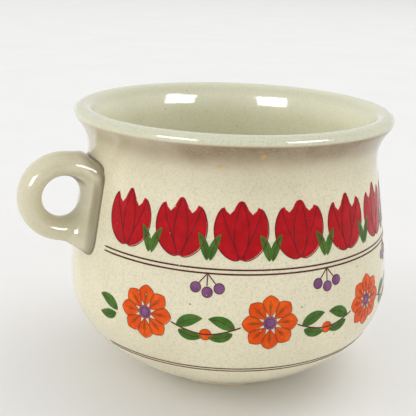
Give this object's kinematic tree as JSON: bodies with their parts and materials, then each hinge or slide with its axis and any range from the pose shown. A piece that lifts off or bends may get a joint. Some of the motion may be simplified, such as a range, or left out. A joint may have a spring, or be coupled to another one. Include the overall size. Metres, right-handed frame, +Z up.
{
  "type": "soup bowl",
  "caption": "Round-bellied glazed stoneware soup bowl with a flared rolled lip, a low foot ring and a closed-loop finger handle luted to the wall.",
  "frame": {"origin": "on the table plane, under the middle of the object's bounding box", "axes": "+Z up out of the mouth, -X towards the handle, Y across the handle's plane of symmetry"},
  "size_m": [0.1254, 0.1078, 0.09],
  "materials": {
    "bowl_glaze": "glossy cream glaze with fine specks and a fired-on print",
    "handle_glaze": "glossy grey-cream glaze",
    "slip": "fired luting slip under the glaze"
  },
  "bodies": {
    "root": {"bowl_body": "bowl_glaze", "handle": "handle_glaze", "handle_slip": "slip"}
  },
  "joints": []
}
